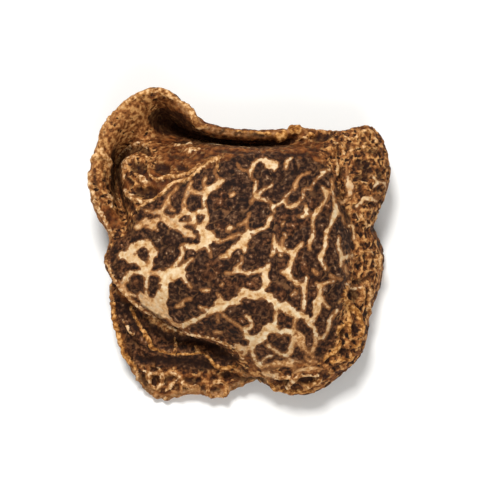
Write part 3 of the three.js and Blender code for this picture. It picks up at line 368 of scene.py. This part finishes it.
# Hollows, seen square-on, coloured dark: their own dark pits and cells, and painted shade in the
# folds, under the edges and in the gaps. Each has a depth and a run of points (x, y, width), in
# millimetres. They are cut deeper than drawn, so that they shade themselves.
HOLLOWS_DEEPENED = 1.3
HOLLOWS_AND_SHADE = [
    # The groove round the tongue, and the pits in it.
    (0.15, [(-10.8, 10.1, 0.6), (-11.2, 10.5, 0.7), (-12.1, 10.6, 0.7), (-13.1, 10.2, 0.7),
            (-13.9, 9.4, 0.4), (-14.3, 8.6, 0.35), (-14.3, 7.5, 0.35), (-14.0, 6.5, 0.35),
            (-13.5, 5.5, 0.35), (-12.8, 4.5, 0.4), (-12.1, 3.7, 0.4)]),
    (0.45, [(-11.9, 6.0, 1.1), (-11.2, 5.8, 1.0), (-10.5, 5.9, 1.3)]),
    (0.3, [(-12.3, 8.7, 1.1), (-11.6, 8.5, 1.3)]),
    (0.25, [(-9.6, 8.5, 1.1), (-9.0, 8.4, 1.2)]),
    (0.15, [(-13.0, 7.3, 0.5), (-12.5, 6.9, 0.4)]),
    (0.15, [(-7.4, 8.6, 0.7), (-6.7, 8.5, 0.5)]),
    # The fold behind the crest, the streaks beside it and the gaps between the knobs of its lip; the
    # fold and the gaps are painted shade.
    (0.0, [(-10.4, 13.9, 1.2), (-9.3, 13.8, 2.6), (-7.8, 13.3, 2.6), (-6.3, 12.5, 1.7),
           (-4.6, 11.8, 1.3), (-2.5, 11.4, 0.8), (0.5, 11.0, 0.5), (3.4, 11.2, 0.4), (5.2, 11.4, 0.3)]),
    (0.15, [(-7.7, 11.4, 0.5), (-6.9, 11.3, 0.6)]),
    (0.15, [(-5.8, 11.4, 0.5), (-5.2, 11.5, 0.5)]),
    (0.1, [(-8.6, 9.8, 0.3), (-7.5, 9.7, 0.45), (-6.5, 9.7, 0.3)]),
    (0.1, [(-6.0, 9.3, 0.2), (-5.0, 9.5, 0.3), (-3.9, 9.9, 0.2)]),
    (0.1, [(-3.4, 10.4, 0.25), (-1.6, 10.2, 0.35), (0.4, 10.1, 0.25)]),
    (0.1, [(-3.1, 12.3, 0.3), (-2.6, 12.6, 0.3)]),
    (0.1, [(-1.3, 12.2, 0.35), (-0.7, 12.5, 0.35)]),
    (0.1, [(0.6, 12.2, 0.4), (1.5, 12.1, 0.5)]),
    (0.1, [(2.2, 10.9, 0.5), (3.6, 11.1, 0.7), (4.7, 11.5, 0.5)]),
    (0.1, [(2.6, 9.8, 0.3), (4.5, 9.9, 0.4), (6.2, 10.0, 0.3)]),
    (0.1, [(7.4, 11.6, 0.6), (8.3, 11.8, 0.8), (9.1, 12.0, 0.4)]),
    (0.1, [(6.3, 10.8, 0.3), (7.4, 10.4, 0.4)]),
    # The ear.
    (0.0, [(-16.6, 8.4, 0.15), (-16.6, 7.2, 0.3), (-16.2, 5.8, 0.15)]),
    (0.0, [(-15.6, 8.2, 0.3), (-15.4, 7.0, 0.3), (-15.1, 6.2, 0.2)]),
    # Painted shadow under the thin edge of the sheet, and painted shade between the layers at the lower
    # left.
    (0.0, [(-12.6, -5.3, 0.15), (-11.5, -6.2, 0.2), (-10.4, -7.0, 0.2), (-9.4, -7.6, 0.25),
           (-8.6, -8.3, 0.3)]),
    (0.1, [(-13.2, -6.4, 0.5), (-12.7, -7.6, 0.5), (-12.1, -8.8, 0.4)]),
    (0.1, [(-10.3, -8.9, 0.6), (-9.2, -9.6, 0.6), (-7.2, -10.1, 0.5), (-5.6, -10.2, 0.5),
           (-4.0, -10.8, 0.8), (-2.6, -11.7, 0.9), (-1.4, -12.1, 0.6)]),
    (0.2, [(-10.8, -12.2, 0.7), (-9.4, -12.3, 0.8), (-8.0, -12.5, 0.9), (-6.4, -12.6, 0.9),
           (-5.0, -12.7, 0.8), (-3.9, -13.2, 0.5)]),
    (0.3, [(-10.1, -14.1, 0.5), (-10.1, -14.4, 0.8), (-10.15, -14.8, 0.6)]),
    (0.3, [(-11.35, -14.1, 0.5), (-11.35, -14.6, 0.8), (-11.3, -15.0, 0.5)]),
    (0.15, [(-10.4, -13.3, 0.4), (-10.0, -13.3, 0.4)]),
    (0.2, [(-8.9, -14.9, 0.5), (-8.8, -14.4, 0.6), (-8.1, -14.2, 0.4)]),
    (0.15, [(-7.7, -15.0, 0.4), (-7.6, -15.4, 0.4)]),
    (0.25, [(-6.8, -14.4, 0.5), (-6.1, -14.6, 0.7), (-5.3, -14.5, 0.5)]),
    (0.2, [(-5.0, -15.4, 0.4), (-4.8, -15.1, 0.4)]),
    (0.2, [(-4.0, -14.3, 0.4), (-3.7, -14.2, 0.4)]),
    (0.2, [(-3.7, -15.5, 0.4), (-3.2, -15.5, 0.5)]),
    (0.2, [(-2.7, -13.9, 0.6), (-2.1, -14.0, 0.5)]),
    (0.2, [(-1.4, -14.2, 0.5), (0.2, -14.5, 0.7), (1.8, -14.4, 0.4)]),
    # The lower edge and the lower right.
    (0.3, [(3.3, -14.6, 0.6), (4.1, -14.55, 0.6)]),
    (0.3, [(5.7, -14.5, 0.6), (6.5, -14.45, 0.8), (7.1, -14.3, 0.5)]),
    (0.2, [(4.9, -15.1, 0.4), (5.4, -15.1, 0.4)]),
    (0.25, [(11.2, -5.0, 0.7), (11.7, -5.2, 0.9), (11.5, -5.8, 0.4)]),
    (0.2, [(10.2, -8.9, 0.4), (10.2, -9.4, 0.5)]),
    (0.2, [(11.5, -8.2, 0.4), (11.6, -9.0, 0.6)]),
    (0.2, [(11.3, -10.2, 0.3), (11.6, -10.3, 0.3)]),
    (0.2, [(10.3, -11.2, 0.5), (10.8, -11.4, 0.3)]),
    (0.2, [(12.8, -5.0, 0.25), (12.7, -5.6, 0.25)]),
    (0.2, [(11.4, -3.7, 0.4), (12.3, -3.7, 0.5), (13.2, -3.1, 0.3)]),
    # The dark cells in the lobes of the right.
    (0.15, [(12.2, 10.35, 0.25), (13.0, 10.25, 0.2), (14.0, 10.25, 0.25)]),
    (0.15, [(10.7, 10.9, 0.4), (11.0, 10.5, 0.4)]),
    (0.15, [(9.8, 10.3, 0.35), (9.75, 10.0, 0.3)]),
    (0.15, [(10.2, 8.5, 0.4), (10.0, 7.6, 0.5)]),
    (0.12, [(11.8, 9.1, 0.7), (12.4, 8.8, 1.2), (12.9, 8.4, 0.9)]),
    (0.12, [(11.7, 7.5, 0.5), (12.4, 7.5, 0.9), (12.8, 7.2, 0.6)]),
    (0.12, [(14.0, 8.2, 0.6), (14.3, 7.7, 0.6)]),
    (0.12, [(13.8, 6.2, 0.4), (14.5, 6.2, 0.5)]),
    (0.12, [(12.0, 6.5, 0.5), (12.3, 5.7, 0.5)]),
    (0.15, [(10.1, 6.4, 0.3), (10.3, 6.4, 0.3)]),
    (0.15, [(10.0, 5.6, 0.4), (10.4, 5.6, 0.4)]),
    (0.2, [(12.8, 4.7, 0.3), (13.4, 4.6, 0.3)]),
]


# ------------------------------------------------------------------ measures over the surface

def square_on(points):
    """The points as drawn: x to the right, y up and z towards the viewer, in millimetres."""
    x, y, z = (points - MIDDLE).T
    turn, rise = math.cos(LAID_BACK), math.sin(LAID_BACK)
    return np.column_stack((x, y * turn + z * rise, z * turn - y * rise))


def step(values, low, high):
    """0 up to low, 1 from high on, and smooth between them. Low may be the higher of the two."""
    share = np.clip((values - low) / (high - low), 0, 1)
    return share * share * (3 - 2 * share)


def smooth_run(points, closed=False, pieces=4):
    """A finer run of points along the smooth curve through these."""
    points = np.array(points, float)
    if closed:
        points = np.vstack((points[-1:], points, points[:2]))
    else:
        points = np.vstack((2 * points[0] - points[1], points, 2 * points[-1] - points[-2]))
    before, start, end, after = points[:-3], points[1:-2], points[2:-1], points[3:]
    run = []
    for t in np.arange(pieces) / pieces:
        bend = (2 * before - 5 * start + 4 * end - after) * t * t
        turn = (3 * start - before - 3 * end + after) * t * t * t
        run.append((2 * start + (end - before) * t + bend + turn) / 2)
    run = np.stack(run, 1).reshape(-1, points.shape[1])
    return np.vstack((run, end[-1:]))


def from_stroke(places, stroke, reach):
    """How far each place (x, y) is outside a stroke, and the stroke's half width beside it."""
    stroke = smooth_run(stroke)
    stroke[:, 2] = np.maximum(stroke[:, 2], 0.05) / 2
    outside = np.full(len(places), reach)
    half = np.zeros(len(places))
    low, high = stroke[:, :2].min(0) - reach - 1, stroke[:, :2].max(0) + reach + 1
    near = np.flatnonzero(np.all((places > low) & (places < high), 1))
    for (x0, y0, r0), (x1, y1, r1) in zip(stroke[:-1], stroke[1:]):
        along = np.array((x1 - x0, y1 - y0))
        length = max(float(along @ along), 1e-9)
        share = np.clip((places[near] - (x0, y0)) @ along / length, 0, 1)
        gap = places[near] - (x0, y0) - share[:, None] * along
        its_half = r0 + share * (r1 - r0)
        distance = np.hypot(gap[:, 0], gap[:, 1]) - its_half
        nearer = distance < outside[near]
        half[near[nearer]] = its_half[nearer]
        outside[near[nearer]] = distance[nearer]
    return outside, half


def nearest_stroke(places, strokes, reach=2.0, web=0.0):
    """How far each place is outside the nearest stroke, the stroke's half width and its value.

    The strokes come with a value each, such as a tone. A web, in millimetres, rounds the
    corners where strokes meet.
    """
    nearest = np.full(len(places), reach)
    joined = nearest.copy()
    half = np.zeros(len(places))
    value = np.zeros(len(places))
    for its_value, stroke in strokes:
        outside, its_half = from_stroke(places, stroke, reach)
        nearer = outside < nearest
        nearest[nearer] = outside[nearer]
        half[nearer] = its_half[nearer]
        value[nearer] = its_value
        close = np.maximum(web - np.abs(outside - joined), 0)
        joined = np.minimum(joined, outside) - close ** 2 / (4 * max(web, 0.01))
    return joined, half, value


def outside_of(places, outline):
    """How far each place (x, y) is outside a closed outline: inside it the distance is negative."""
    outline = smooth_run(outline, closed=True)
    nearest = np.full(len(places), np.inf)
    inside = np.zeros(len(places), bool)
    for (x0, y0), (x1, y1) in zip(outline, np.roll(outline, -1, 0)):
        along = np.array((x1 - x0, y1 - y0))
        length = max(float(along @ along), 1e-9)
        share = np.clip((places - (x0, y0)) @ along / length, 0, 1)
        gap = places - (x0, y0) - share[:, None] * along
        nearest = np.minimum(nearest, np.hypot(gap[:, 0], gap[:, 1]))
        level = (y0 > places[:, 1]) != (y1 > places[:, 1])
        if y0 != y1:
            inside ^= level & (places[:, 0] < x0 + (places[:, 1] - y0) * (x1 - x0) / (y1 - y0))
    return np.where(inside, -nearest, nearest)


def from_rim(drawn, rim, closed):
    """How far each drawn point is from a rim, in millimetres."""
    run = smooth_run(rim, closed, pieces=12)
    tree = kdtree.KDTree(len(run))
    for i, point in enumerate(run):
        tree.insert(point, i)
    tree.balance()
    return np.array([tree.find(point)[2] for point in drawn.tolist()])


def grain(points, size, octaves=2):
    """Smooth noise from about -1 to 1, with patches of the given size in millimetres."""
    return np.array([noise.fractal(p, 1.0, 2.0, octaves) for p in (points / size).tolist()])


def drift(points, size, amount):
    """The points moved about by up to the amount, alike within patches of the given size."""
    moves = np.array([noise.noise_vector(p) for p in (points / size).tolist()])
    return points + amount * moves


def to_wall(distances, seeds, others):
    """How far a point is from the nearest of the walls between its own seed and the others."""
    own, middle = distances[0], seeds[0]
    gaps = [(distances[i] ** 2 - own ** 2) / (2 * (seeds[i] - middle).length) for i in others]
    return min(gaps, default=0.5)


def pebbles(points, size):
    """How far each point is from the nearest of seeds about a size apart, and from its wall."""
    found = [noise.voronoi(p) for p in (points / size).tolist()]
    walls = [to_wall(distances, seeds, (1, 2, 3)) for distances, seeds in found]
    return np.array([distances[0] for distances, _ in found]) * size, np.array(walls) * size


def lobed_cells(points):
    """Cells of dark flesh, each a cluster of round lobes, over the points.

    Returns how far each point is from the middle of its lobe, how far from the edge of its
    cell, both in millimetres, and a number from 0 to 1 that is the same all over its cell.
    """
    middle, edge, shade = (np.empty(len(points)) for _ in range(3))
    for i, p in enumerate((points / LOBE).tolist()):
        distances, lobes = noise.voronoi(p)
        cells = [noise.voronoi(lobe * (LOBE / CELL))[1][0] for lobe in lobes]
        others = [k for k in (1, 2, 3) if (cells[k] - cells[0]).length > 0.01]
        middle[i] = distances[0]
        edge[i] = to_wall(distances, lobes, others)
        shade[i] = noise.cell(cells[0] * 7.3)
    return middle * LOBE, edge * LOBE, np.abs(shade) % 1


# ------------------------------------------------------------------ the slice

def fine_surface(solid):
    """The solid's surface with rounded facets and evenly spaced points, in millimetres."""
    rough = solid.data.copy()
    rough.transform(Matrix.Scale(1 / MM, 4))
    rough.materials.clear()
    loose = bpy.data.objects.new("rough_slice", rough)
    bpy.context.scene.collection.objects.link(loose)
    loose.modifiers.new("joined points", "WELD").merge_threshold = 0.001
    rounded = loose.modifiers.new("rounded facets", "SUBSURF")
    rounded.levels = rounded.render_levels = 2
    even = loose.modifiers.new("even points", "REMESH")
    even.mode = "VOXEL"
    even.voxel_size = POINT_SPACING
    loose.modifiers.new("evened out", "SMOOTH").iterations = EVENING_ROUNDS
    mesh = bpy.data.meshes.new_from_object(loose.evaluated_get(bpy.context.evaluated_depsgraph_get()))
    bpy.data.objects.remove(loose)
    return mesh


def read_vectors(data, name):
    """A vector for each of a mesh's points, one row each."""
    values = np.empty(len(data) * 3)
    data.foreach_get(name, values)
    return values.reshape(-1, 3)


def flesh_and_veins(points, drawn, front):
    """The dark flesh in its lobed cells, and how far each point is outside the pale veins."""
    x, y = drawn[:, 0], drawn[:, 1]

    # The cells stand upright between the two faces of the sheet.
    upright = drawn * (1, 1, 0.3)
    lobe, cell_edge, shade = lobed_cells(drift(upright, 0.9, 0.2))

    # The drawn veins are on the cut face, and scattered ones of the same kind behind it.
    _, wall = pebbles(drift(upright, 2.2, 0.9), 2.6)
    strength = grain(points + 40, 4.5)
    scattered = wall - 0.12 - 0.55 * np.clip(strength, -0.6, 0.7)
    outside, half, tone = nearest_stroke(drawn[:, :2], VEINS, web=0.3)
    vein = scattered + front * (outside - scattered)

    # Thin veins are browner than wide ones.
    tone = tone + 0.4 * (1 - step(half, 0.1, 0.3))
    tone = np.clip(front * tone + 0.3 * grain(points + 80, 1.5), 0, 1)

    # All run between the lobes, which leaves them with cusps, and a little way between the
    # cells. Those of the upper right are a little thinner than drawn.
    width = 0.3 + front * (half - 0.3)
    bulge = np.clip(width / 0.35, 0.15, 1.0) ** 1.3
    vein += 0.04 * front * step(x, -5, -1) * step(y, 0, 3)
    vein = vein + 0.02 - bulge * (0.5 * (lobe - 0.6) + 0.1 * (1 - step(cell_edge, 0.0, 0.2)))

    # The middles of some cells are ruddy, and so is the flesh at the bottom and the upper left.
    ruddy_cells = step(shade, 0.45, 1.0) * step(vein, 0.05, 0.5)
    ruddy_parts = np.maximum(step(-y, 5, 10), step(y - x, 11, 14))
    ruddy = np.maximum(ruddy_cells, 0.7 * front * ruddy_parts)
    return {
        "vein": vein, "tone": tone, "ruddy": ruddy, "lobe": lobe, "cell_edge": cell_edge,
        "drawn_vein": outside,
    }


def margins(points, drawn, front, drawn_vein):
    """The skin of the margins beyond the marbled face: its rims, its net, its knobs, its wear and the
    painted shade in the fold behind its crest.
    """
    places = drawn[:, :2]
    x, y = places.T
    beyond = np.minimum(outside_of(places, FACE_EDGE), outside_of(places, LAYER_FACE))
    margin = front * step(beyond + 0.5 * grain(points, 1.0), -0.3, 0.4) * step(drawn_vein, 0.0, 0.1)
    rim = np.minimum(from_rim(drawn, SHEET_RIM, True), from_rim(drawn, LAYER_RIM, False))

    # The lower right and the bottom are coarser, with a wider net, a wider rim and larger knobs,
    # and the ear's net has thicker strands.
    lower_right = step(x, 8, 11) * step(y, 5, 0)
    coarse = front * np.maximum(lower_right, step(-y, 12.2, 14))
    ear = step(x, -9.5, -11) * step(y - x, 19, 24)
    band = 0.35 + 0.5 * coarse
    _, fine_net = pebbles(drift(points, 1.1, 0.5), 0.75)
    _, coarse_net = pebbles(drift(points, 1.4, 0.7), 1.5)
    net = fine_net + coarse * (coarse_net - 0.08 - fine_net) + 0.08 * grain(points + 30, 0.7)
    net -= 0.11 * ear
    knob, _ = pebbles(drift(points, 1.0, 0.2), 1.1)

    # It is worn soft and dark on the lip and in bits elsewhere, and darker along the bottom.
    # Behind the crest it is soft, and darker with painted shade in the fold.
    crest = step(x, -11, -8.5) * step(y, 7.3, 8.8) * step(x, 9, 6)
    lip = step(y, 11.6, 12.2) * step(x, -4.5, -3.5) * step(x, 3, 2.5)
    bottom = 0.35 * step(-y, 13, 14) + 0.3 * step(-y, 15.2, 16)
    bits = step(grain(points + 70, 3.0), -0.05, 0.4) * step(x, 9, 7.5) * (1 - coarse) * (1 - ear)
    worn = front * np.maximum.reduce((0.68 * crest, 0.8 * lip, bottom, bits))
    return {
        "margin": margin, "rim": rim - band, "net": net, "knob": knob, "coarse": coarse, "worn": worn,
    }


def lines_and_hollows(drawn, front):
    """The raised lines of the margins and the hollows, dark with their own pits and with painted shade,
    which are on the front alone.
    """
    ridge, half, amber = nearest_stroke(drawn[:, :2], RIDGES)
    hollow_and_shade, _, depth = nearest_stroke(drawn[:, :2], HOLLOWS_AND_SHADE)
    return {
        "ridge": np.where(front > 0.5, ridge, 2.0), "amber": amber, "ridge_height": 0.16 + 0.8 * half,
        "hollow_and_shade": np.where(front > 0.5, hollow_and_shade, 2.0), "depth": front * depth,
    }


def measures(points, normals):
    """What the surface is at each of its points, by name.

    Distances are in millimetres, and shares such as a tone or the wear go from 0 to 1.
    """
    drawn = square_on(points)
    facing = square_on(points + normals)[:, 2] - drawn[:, 2]
    front = step(facing, 0.05, 0.35)
    at = flesh_and_veins(points, drawn, front)
    at.update(margins(points, drawn, front, at["drawn_vein"]))
    at.update(lines_and_hollows(drawn, front))
    return at


def relief(points, at):
    """How far each point stands out from the even surface, in millimetres."""
    skin = np.maximum(at["margin"], 1 - step(at["rim"], -0.2, 0.3))

    # The lobes of the dark flesh stand a little out of the veins.
    dark = (1 - skin) * step(at["vein"], -0.05, 0.25)
    domes = np.clip(1 - (at["lobe"] / (0.55 * LOBE)) ** 2, -0.5, 1)
    height = dark * (0.08 * step(at["cell_edge"], 0, 0.2) + 0.05 * domes)

    # The skin's net stands round its pits, and lower where it is worn.
    height += skin * (1 - 0.6 * at["worn"]) * (0.16 * (1 - step(at["net"], 0.0, 0.22)) - 0.06)
    height += at["ridge_height"] * (1 - step(at["ridge"], -0.15, 0.18))
    height -= HOLLOWS_DEEPENED * at["depth"] * (1 - step(at["hollow_and_shade"], -0.2, 0.2))

    # Knobs along the rims.
    knobs = np.clip(1 - (at["knob"] / 0.6) ** 2, 0, 1)
    height += (1 - step(at["rim"], -0.3, 0.5)) * knobs * (0.08 + 0.22 * at["coarse"])
    return height + 0.07 * grain(points, 1.6) + 0.03 * grain(points + 9, 0.5)


def dried_slice():
    """The whole slice, with its relief and with what its material has to know at each point."""
    mesh = fine_surface(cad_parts["truffle_slice"])
    points = read_vectors(mesh.vertices, "co")
    mesh.update()
    normals = read_vectors(mesh.vertex_normals, "vector")
    at = measures(points, normals)
    points = points + relief(points, at)[:, None] * normals

    # Where it lies, it is flat.
    points[:, 2] = np.maximum(points[:, 2], 0)
    mesh.vertices.foreach_set("co", (points * MM).ravel())
    for name in ("vein", "tone", "ruddy", "lobe", "cell_edge", "margin", "rim", "net", "worn", "ridge",
                 "amber", "hollow_and_shade"):
        mesh.attributes.new(name, "FLOAT", "POINT").data.foreach_set("value", at[name])
    mesh.update()
    mesh.shade_smooth()
    piece = bpy.data.objects.new("dried_slice", mesh)
    bpy.context.scene.collection.objects.link(piece)
    return piece


# ------------------------------------------------------------------ materials

def linear(colour):
    """A #rrggbb colour as linear light."""
    parts = [int(colour[i:i + 2], 16) / 255 for i in (1, 3, 5)]
    return (*(p / 12.92 if p <= 0.04045 else ((p + 0.055) / 1.055) ** 2.4 for p in parts), 1.0)


def add(tree, kind, inputs=(), stops=(), **settings):
    """A node with its settings and inputs: a value, a colour or another node's output each."""
    node = tree.nodes.new("ShaderNode" + kind)
    for name, value in settings.items():
        setattr(node, name, value)
    for name, value in dict(inputs).items():
        if isinstance(value, bpy.types.NodeSocket):
            tree.links.new(value, node.inputs[name])
        elif isinstance(value, str):
            node.inputs[name].default_value = linear(value)
        else:
            node.inputs[name].default_value = value
    for i, (place, colour) in enumerate(stops):
        stop = node.color_ramp.elements[i] if i < 2 else node.color_ramp.elements.new(place)
        stop.position = place
        stop.color = linear(colour)
    return node


def new_material(name):
    """A material, its nodes and its surface."""
    material = bpy.data.materials.new(name)
    material.use_nodes = True
    tree = material.node_tree
    return material, tree, tree.nodes["Principled BSDF"]


def dried_truffle_flesh():
    """Dried truffle, sliced and air-dried: fungus flesh, dull all over and dry to the eye.

    The dark spore flesh looks grainy, the pale veins smoother and a little chalky, and the
    golden-brown skin leathery, with a net of raised strands round dark pits.
    """
    material, tree, surface = new_material("dried truffle flesh and skin")
    place = add(tree, "TexCoord").outputs["Object"]
    place = add(tree, "VectorMath", {0: place, "Scale": 1 / MM}, operation="SCALE").outputs[0]

    # Sizes are in millimetres. The real grain, of spore sacs in the dark flesh and of wrinkles in
    # the skin, is under 0.1 mm. That is too fine to show, so the specks are drawn as coarse as
    # they need to be, 0.35 to 0.7 mm.
    fine = add(tree, "TexNoise", {"Vector": place, "Scale": 1 / 0.35, "Detail": 3.0}).outputs["Fac"]

    def mottled(size, *stops):
        """A colour that goes through the stops in patches of the given size, in millimetres."""
        specks = add(tree, "TexNoise", {"Vector": place, "Scale": 1 / size, "Detail": 3.0})
        return add(tree, "ValToRGB", {"Fac": specks.outputs["Fac"]}, stops).outputs["Color"]

    def uneven(name, amount):
        """One of the measures over the surface, moved up and down a little from speck to speck."""
        measure = add(tree, "Attribute", attribute_name=name).outputs["Fac"]
        moved = {0: fine, 1: amount, 2: -amount / 2}
        moved = add(tree, "Math", moved, operation="MULTIPLY_ADD").outputs[0]
        return add(tree, "Math", {0: measure, 1: moved}).outputs[0]

    def coated(under, over, measure, bare, covered, share=1.0):
        """One colour laid over another, where a measure goes from its bare to its covered value."""
        cover = {"Value": measure, "From Min": bare, "From Max": covered, "To Max": share}
        cover = add(tree, "MapRange", cover, interpolation_type="SMOOTHSTEP").outputs["Result"]
        return add(tree, "Mix", {"Factor": cover, 6: under, 7: over}, data_type="RGBA").outputs[2]

    # Dark spore flesh, with painted shade between its lobes and sparse pale specks that are painted
    # glints, ruddy in the middle of some cells and with paler hairlines between cells, which come and
    # go in patches of 1.3 mm.
    dark = mottled(0.46, (0.38, "#150702"), (0.5, "#321b0e"), (0.66, "#694830"), (0.76, "#c29d78"))
    ruddy = mottled(0.46, (0.38, "#1a0b04"), (0.5, "#402311"), (0.66, "#784b2c"), (0.76, "#c29d78"))
    dark = coated(dark, ruddy, uneven("ruddy", 0.8), 0.0, 1.0)
    dark = coated(dark, "#120703", uneven("lobe", 0.4), 0.3, 0.62, 0.42)
    patches = add(tree, "TexNoise", {"Vector": place, "Scale": 1 / 1.3}).outputs["Fac"]
    patches = {"Value": patches, "From Min": 0.36, "From Max": 0.6, "To Max": 0.38}
    patches = add(tree, "MapRange", patches).outputs["Result"]
    dark = coated(dark, "#9a6a42", uneven("cell_edge", 0.12), 0.09, 0.01, patches)

    # Pale veins with ragged edges, each in a brown seam, with the darkest flesh beside it.
    cream = mottled(0.6, (0.34, "#a67442"), (0.44, "#caa270"), (0.54, "#d4b388"), (0.66, "#dfc9a3"))
    golden = mottled(0.35, (0.34, "#7a4b26"), (0.5, "#b47f4b"), (0.66, "#e0b582"))
    pale = coated(cream, golden, uneven("tone", 0.5), 0.0, 1.0)
    edge = uneven("vein", 0.4)
    face = coated(dark, "#1d0f08", edge, 0.35, 0.08, 0.6)
    face = coated(face, "#80522d", edge, 0.23, 0.02)
    face = coated(face, pale, edge, 0.03, -0.07)

    # Skin of the margins: a speckled golden net round dark pits, soft and dark where it is worn,
    # darker with painted shade in the fold behind the crest, and paler on the rims.
    strands = mottled(0.5, (0.36, "#5b3216"), (0.5, "#935c2f"), (0.62, "#c99459"))
    pits = mottled(0.4, (0.36, "#120702"), (0.5, "#331a0c"), (0.64, "#6f4423"))
    soft = mottled(0.7, (0.36, "#2c1005"), (0.5, "#55290f"), (0.66, "#8e5427"))
    rim = uneven("rim", 0.7)
    skin = coated(pits, strands, uneven("net", 0.5), 0.16, 0.03)
    skin = coated(skin, soft, uneven("worn", 0.5), 0.0, 1.0, 0.88)
    skin = coated(skin, golden, rim, 0.1, -0.1, 0.35)
    colour = coated(face, skin, uneven("margin", 0.4), 0.0, 1.0)
    colour = coated(colour, skin, rim, 0.1, -0.1)

    # Painted shade and dark pits in the hollows, and raised lines from pale to amber.
    light = mottled(0.45, (0.36, "#6f4220"), (0.5, "#b07e4b"), (0.64, "#e6c294"))
    amber = mottled(0.45, (0.36, "#5f3312"), (0.5, "#a2692d"), (0.64, "#d79e5b"))
    light = coated(light, amber, uneven("amber", 0.5), 0.0, 1.0, 0.9)
    colour = coated(colour, "#1f0e07", uneven("hollow_and_shade", 0.4), 0.15, -0.15, 0.78)
    colour = coated(colour, light, uneven("ridge", 0.5), 0.07, -0.07)

    # Small grains all over, less than 0.1 mm high. Dry flesh scatters light, so it hardly shines.
    grains = add(tree, "TexNoise", {"Vector": place, "Scale": 1 / 0.42, "Detail": 3.0}).outputs["Fac"]
    heights = add(tree, "Math", {0: fine, 1: 0.7, 2: grains}, operation="MULTIPLY_ADD").outputs[0]
    bump = add(tree, "Bump", {"Height": heights, "Strength": 0.5, "Distance": 0.08 * MM})
    tree.links.new(colour, surface.inputs["Base Color"])
    tree.links.new(bump.outputs["Normal"], surface.inputs["Normal"])
    surface.inputs["Roughness"].default_value = 0.72
    surface.inputs["IOR"].default_value = 1.45
    surface.inputs["Specular IOR Level"].default_value = 0.12
    return material


def pale_paper():
    """The plain surface under the slice: matt white paper, which shows its shadow and no shine."""
    material, _, surface = new_material("matt white paper")
    surface.inputs["Base Color"].default_value = linear("#f4f3f0")
    surface.inputs["Roughness"].default_value = 0.9
    return material


# ------------------------------------------------------------------ the scene

def lay_floor():
    """The surface under the slice, a hair below what rests on it."""
    bpy.ops.mesh.primitive_plane_add(size=3, location=(0, 0, -0.02 * MM))
    floor = bpy.context.object
    floor.name = "floor"
    floor.data.materials.append(pale_paper())


def soft_light(name, place, size, power):
    """A square soft light at a place, in metres, turned to the slice, of a power in watts."""
    lamp = bpy.data.lights.new(name, "AREA")
    lamp.size = size
    lamp.energy = power
    light = bpy.data.objects.new(name, lamp)
    light.location = place
    light.rotation_euler = (-Vector(place)).to_track_quat("-Z", "Y").to_euler()
    bpy.context.scene.collection.objects.link(light)


def light_the_room():
    """A window beyond the slice, a wide soft fill from the near side and a dim white room."""
    soft_light("window", (-0.12, 0.42, 0.7), 0.25, 6.7)
    soft_light("fill", (0.1, -0.65, 0.6), 0.6, 3.7)
    world = bpy.data.worlds.new("room")
    world.use_nodes = True
    bpy.context.scene.world = world
    tree = world.node_tree

    # Seen, reflected or looked at through something, the room is plain white.
    ray = add(tree, "LightPath").outputs
    seen = {0: ray["Is Camera Ray"], 1: ray["Is Glossy Ray"]}
    seen = add(tree, "Math", seen, operation="MAXIMUM").outputs[0]
    seen = {0: seen, 1: ray["Is Transmission Ray"]}
    seen = add(tree, "Math", seen, operation="MAXIMUM").outputs[0]
    strength = add(tree, "MapRange", {"Value": seen, "To Min": ROOM_LIGHT, "To Max": 1.0})
    tree.links.new(strength.outputs["Result"], tree.nodes["Background"].inputs["Strength"])
    tree.nodes["Background"].inputs["Color"].default_value = linear("#ffffff")


def set_camera():
    """Square-on to the cut face, aimed at the middle of the slice."""
    low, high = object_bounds()
    back = Vector((0, -math.cos(CAMERA_ELEVATION), math.sin(CAMERA_ELEVATION)))
    lens = bpy.data.cameras.new("camera")
    lens.lens = CAMERA_LENS
    camera = bpy.data.objects.new("camera", lens)
    camera.location = (low + high) / 2 + back * CAMERA_DISTANCE
    camera.rotation_euler = back.to_track_quat("Z", "Y").to_euler()
    bpy.context.scene.collection.objects.link(camera)
    bpy.context.scene.camera = camera


set_camera()
lay_floor()
light_the_room()

piece = dried_slice()
piece.data.materials.append(dried_truffle_flesh())
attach(piece, "root")
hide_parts("truffle_slice")

bpy.context.scene.view_settings.view_transform = "Standard"
